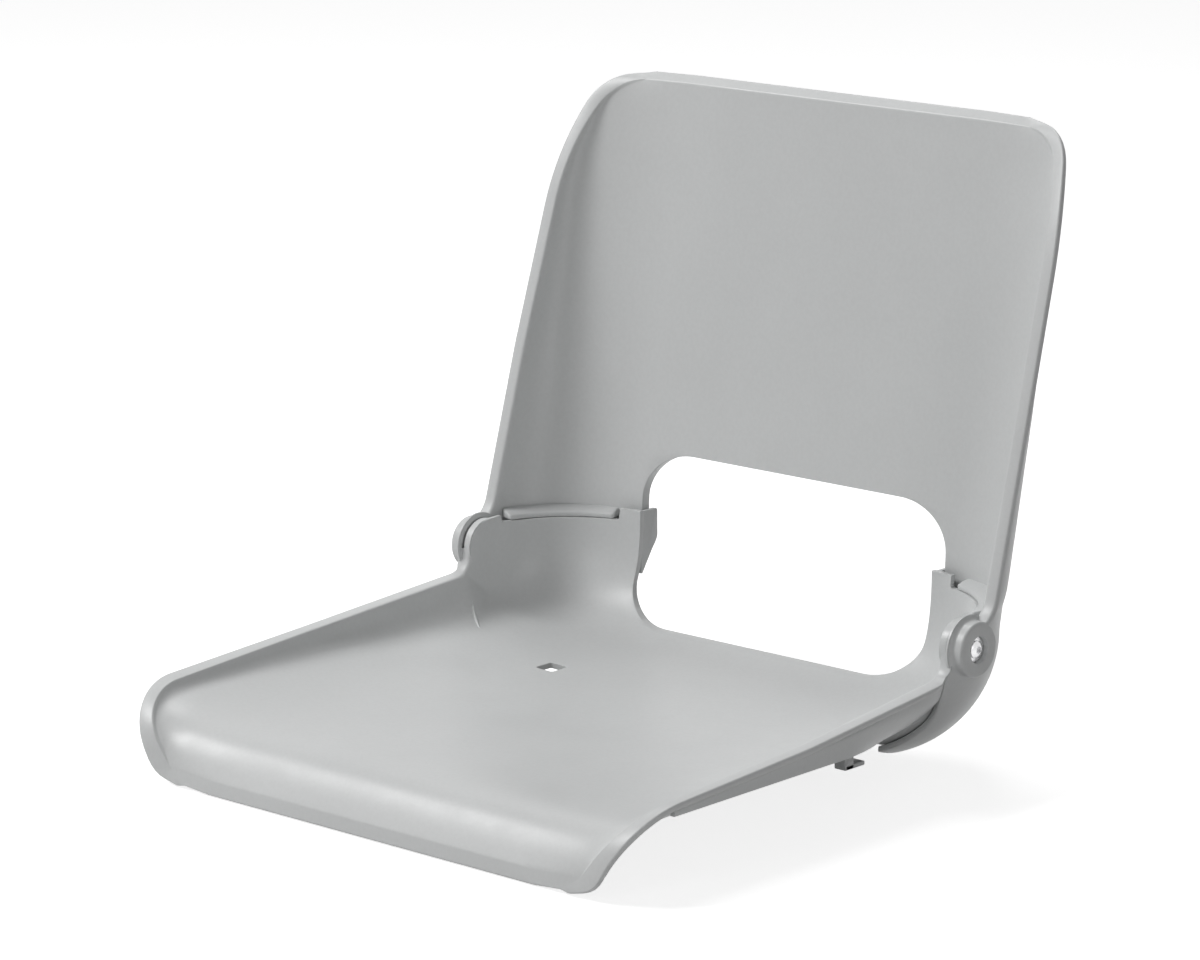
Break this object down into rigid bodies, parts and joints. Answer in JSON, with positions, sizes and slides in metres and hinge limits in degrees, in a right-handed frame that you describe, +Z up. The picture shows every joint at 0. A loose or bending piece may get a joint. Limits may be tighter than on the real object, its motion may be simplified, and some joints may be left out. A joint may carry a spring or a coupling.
{
  "type": "stadium seat",
  "caption": "Stadium seat with a moulded pan and a bucket back that folds forward on a screw at each side, over a shared window.",
  "frame": {"origin": "middle of the four mounting holes, on the mounting plane under the pan", "axes": "+X to the right-hand side seen from in front of the seat's back, facing the rear; +Y to the rear; +Z up, out of the mounting plane"},
  "size_m": [0.41, 0.4206, 0.3771],
  "materials": {
    "shell": "satin, fine moulded grain",
    "steel": "plain zinc plated",
    "nylon": "natural",
    "brass": "turned"
  },
  "bodies": {
    "seat": {"seat_shell": "shell", "hinge_screw_left": "steel", "hinge_screw_right": "steel", "hinge_washer_left": "steel", "hinge_washer_right": "steel", "hinge_bush_left": "steel", "hinge_bush_right": "steel", "thrust_washer_left": "nylon", "thrust_washer_right": "nylon", "hinge_insert_left": "brass", "hinge_insert_right": "brass", "mount_insert_front_left": "brass", "mount_insert_front_right": "brass", "mount_insert_rear_left": "brass", "mount_insert_rear_right": "brass"},
    "backrest": {"backrest_shell": "shell"}
  },
  "joints": [
    {"name": "backrest_fold", "type": "hinge", "parent": "seat", "child": "backrest", "pos_m": [0, 0.14, 0.066], "axis": [1, 0, 0], "range_deg": [0, 114]}
  ]
}
